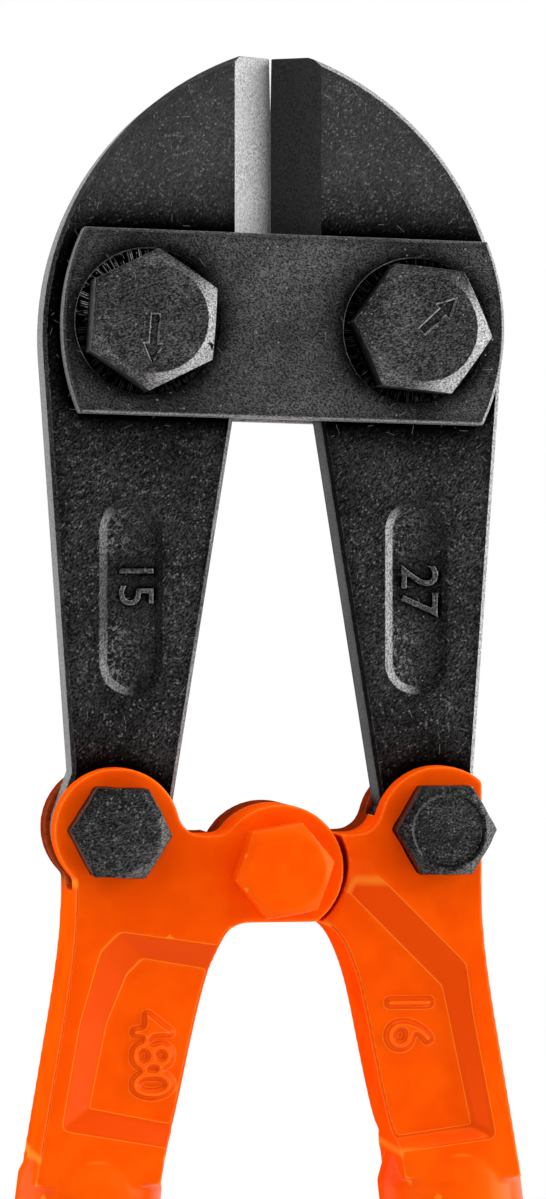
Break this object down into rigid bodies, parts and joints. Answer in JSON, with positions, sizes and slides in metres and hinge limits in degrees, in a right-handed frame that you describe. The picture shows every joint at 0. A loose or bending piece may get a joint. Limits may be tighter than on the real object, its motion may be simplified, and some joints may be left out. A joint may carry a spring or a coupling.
{
  "type": "bolt cutters",
  "caption": "Compound-lever bolt cutters with centre-cut jaws bolted between two side plates, forged handle fittings and sleeved tube handles.",
  "frame": {"origin": "middle of the front side plate's lower edge, where the tool hangs on a peg through the window between the blades' arms", "axes": "+Z towards the jaws along the closed tool, +X to the right seen from the bolt heads, +Y from the bolt heads towards the nuts"},
  "size_m": [0.1132, 0.0346, 0.3112],
  "materials": {
    "black_blade": "black oxide over a forged, ground surface; matte with a fine sparkle",
    "black_plate": "black oxide, matte, with bright worn edges",
    "black_fastener": "black oxide, rough forged tops and worn corners",
    "black_ring": "black oxide with bright tooth tips",
    "orange_paint": "thick glossy orange enamel over a forging",
    "grip": "matte ribbed sleeve"
  },
  "bodies": {
    "side_plates": {"front_side_plate": "black_plate", "rear_side_plate": "black_plate", "left_eccentric_bolt": "black_fastener", "right_eccentric_bolt": "black_fastener", "left_serrated_ring": "black_ring", "right_serrated_ring": "black_ring", "left_plate_nut": "black_fastener", "right_plate_nut": "black_fastener"},
    "left_blade": {"left_blade": "black_blade"},
    "right_blade": {"right_blade": "black_blade"},
    "left_handle": {"left_handle_fitting": "orange_paint", "left_link_bolt": "black_fastener", "left_spring_washer": "black_fastener", "left_link_nut": "black_fastener", "centre_pivot_bolt": "orange_paint", "centre_pivot_washer": "orange_paint", "centre_pivot_nut": "orange_paint", "left_handle_tube": "orange_paint", "left_grip": "grip", "left_tube_rivet": "orange_paint"},
    "right_handle": {"right_handle_fitting": "orange_paint", "right_link_bolt": "black_fastener", "right_spring_washer": "black_fastener", "right_link_nut": "black_fastener", "right_handle_tube": "orange_paint", "right_grip": "grip", "right_tube_rivet": "orange_paint"}
  },
  "joints": [
    {"name": "left_blade_swing", "type": "hinge", "parent": "side_plates", "child": "left_blade", "pos_m": [-0.02055, 0.0061, 0.01361], "axis": [0, -1, 0], "range_deg": [0, 3.84]},
    {"name": "right_blade_swing", "type": "hinge", "parent": "side_plates", "child": "right_blade", "pos_m": [0.01933, 0.0061, 0.01361], "axis": [0, 1, 0], "range_deg": [0, 3.84]},
    {"name": "left_handle_swing", "type": "hinge", "parent": "left_blade", "child": "left_handle", "pos_m": [-0.02471, 0.0061, -0.06046], "axis": [0, 1, 0], "range_deg": [0, 32]},
    {"name": "right_handle_swing", "type": "hinge", "parent": "right_blade", "child": "right_handle", "pos_m": [0.02349, 0.0061, -0.06046], "axis": [0, -1, 0], "range_deg": [0, 32]}
  ],
  "couplings": [
    {"joint": "left_blade_swing", "follows": "left_handle_swing", "ratio": 0.12},
    {"joint": "right_blade_swing", "follows": "left_handle_swing", "ratio": 0.12},
    {"joint": "right_handle_swing", "follows": "left_handle_swing", "ratio": 1}
  ]
}
